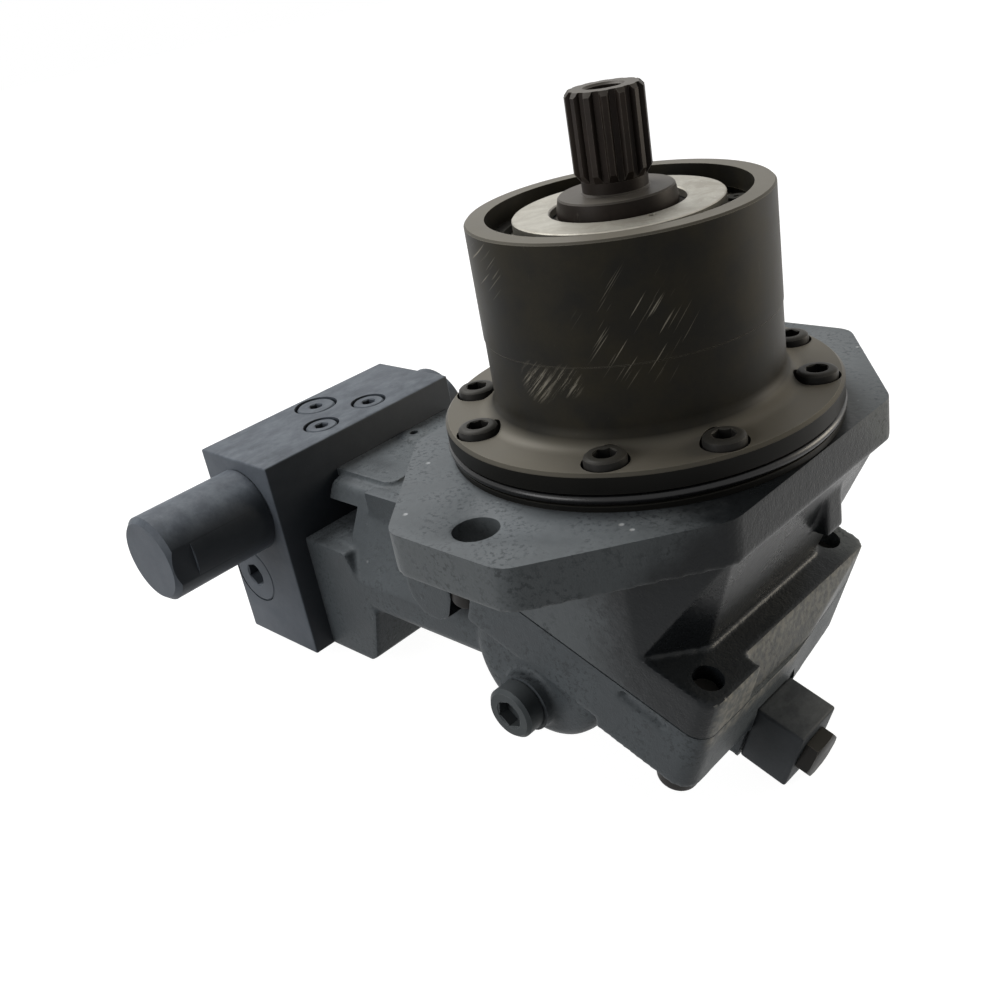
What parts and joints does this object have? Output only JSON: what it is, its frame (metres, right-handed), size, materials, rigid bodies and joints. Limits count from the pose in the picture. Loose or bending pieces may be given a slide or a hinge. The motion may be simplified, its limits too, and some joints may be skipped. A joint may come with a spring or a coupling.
{
  "type": "bent-axis hydraulic drive motor with counterbalance valve",
  "caption": "Plug-in bent-axis hydraulic drive motor with a splined shaft, two-hole flange, long bearing sleeve and a side-mounted counterbalance valve block.",
  "frame": {"origin": "centre of the mounting face, where the flange meets the gearbox hub, on the drive shaft's axis", "axes": "+Z along the drive shaft toward its splined end, +Y through one of the two mounting holes, and the valve block stands toward -X"},
  "size_m": [0.3335, 0.243, 0.2842],
  "materials": {
    "painted_iron": "satin dark grey paint over rough cast iron",
    "painted_block": "satin blue-grey paint over a machined iron block",
    "black_oxide_steel": "black oxide, turned, a little worn",
    "dark_steel": "hardened and darkened, worn at the tooth ends",
    "bare_steel": "bare turned steel with stains",
    "bearing_steel": "ground",
    "black_rubber": "oiled nitrile rubber"
  },
  "bodies": {
    "housing": {"motor_housing": "painted_iron", "nose_sleeve": "black_oxide_steel", "sleeve_screw_1": "black_oxide_steel", "sleeve_screw_2": "black_oxide_steel", "sleeve_screw_3": "black_oxide_steel", "sleeve_screw_4": "black_oxide_steel", "sleeve_screw_5": "black_oxide_steel", "sleeve_screw_6": "black_oxide_steel", "sleeve_screw_7": "black_oxide_steel", "sleeve_screw_8": "black_oxide_steel", "pilot_o_ring": "black_rubber", "shaft_seal": "black_rubber", "seal_carrier": "bare_steel", "retaining_ring": "black_oxide_steel", "front_bearing_cup": "bearing_steel", "rear_bearing_cup": "bearing_steel", "housing_seal": "black_rubber", "control_plate": "bearing_steel", "control_pin": "bearing_steel", "control_piston": "bearing_steel", "control_bore_plug": "black_oxide_steel", "port_plate": "painted_iron", "plate_screw_1": "black_oxide_steel", "plate_screw_2": "black_oxide_steel", "plate_screw_3": "black_oxide_steel", "plate_screw_4": "black_oxide_steel", "gauge_port_plug": "black_oxide_steel", "flushing_valve_body": "painted_block", "flushing_valve_plug": "black_oxide_steel", "valve_block": "painted_block", "valve_cap": "painted_block", "valve_end_cap": "painted_block", "spool_spring_front": "bare_steel", "spool_spring_rear": "bare_steel", "top_plug_large": "black_oxide_steel", "top_plug_small_1": "black_oxide_steel", "top_plug_small_2": "black_oxide_steel", "front_plug": "black_oxide_steel", "valve_block_screw_1": "black_oxide_steel", "valve_block_screw_2": "black_oxide_steel", "valve_block_screw_3": "black_oxide_steel", "valve_block_screw_4": "black_oxide_steel"},
    "shaft": {"drive_shaft": "dark_steel", "ball_retaining_plate": "bare_steel", "front_bearing_cone": "bearing_steel", "rear_bearing_cone": "bearing_steel"},
    "cylinder_block": {"cylinder_block": "bearing_steel", "piston_1": "bearing_steel", "piston_2": "bearing_steel", "piston_3": "bearing_steel", "piston_4": "bearing_steel", "piston_5": "bearing_steel", "piston_6": "bearing_steel", "piston_7": "bearing_steel", "centre_pin": "bearing_steel", "centre_spring": "bare_steel"},
    "front_rollers": {"front_bearing_rollers": "bearing_steel"},
    "rear_rollers": {"rear_bearing_rollers": "bearing_steel"},
    "counterbalance_spool": {"counterbalance_spool": "bearing_steel"},
    "flushing_spool": {"flushing_spool": "bearing_steel"}
  },
  "joints": [
    {"name": "shaft_spin", "type": "hinge", "parent": "housing", "child": "shaft", "pos_m": [0, 0, 0], "axis": [0, 0, 1], "continuous": true},
    {"name": "block_spin", "type": "hinge", "parent": "housing", "child": "cylinder_block", "pos_m": [0, 0, 0], "axis": [0, 0, 1], "continuous": true},
    {"name": "front_roller_spin", "type": "hinge", "parent": "housing", "child": "front_rollers", "pos_m": [0, 0, 0], "axis": [0, 0, 1], "continuous": true},
    {"name": "rear_roller_spin", "type": "hinge", "parent": "housing", "child": "rear_rollers", "pos_m": [0, 0, 0], "axis": [0, 0, 1], "continuous": true},
    {"name": "counterbalance_slide", "type": "slide", "parent": "housing", "child": "counterbalance_spool", "axis": [0, 1, 0], "range_m": [-0.006, 0.006], "stiffness_N_per_m": 2000, "deforming": ["spool_spring_front", "spool_spring_rear"]},
    {"name": "flushing_slide", "type": "slide", "parent": "housing", "child": "flushing_spool", "axis": [0.9373, 0, -0.3486], "range_m": [-0.002, 0.002], "stiffness_N_per_m": 800}
  ],
  "couplings": [
    {"joint": "block_spin", "follows": "shaft_spin", "ratio": 1},
    {"joint": "front_roller_spin", "follows": "shaft_spin", "ratio": 0.41017},
    {"joint": "rear_roller_spin", "follows": "shaft_spin", "ratio": 0.41017}
  ]
}
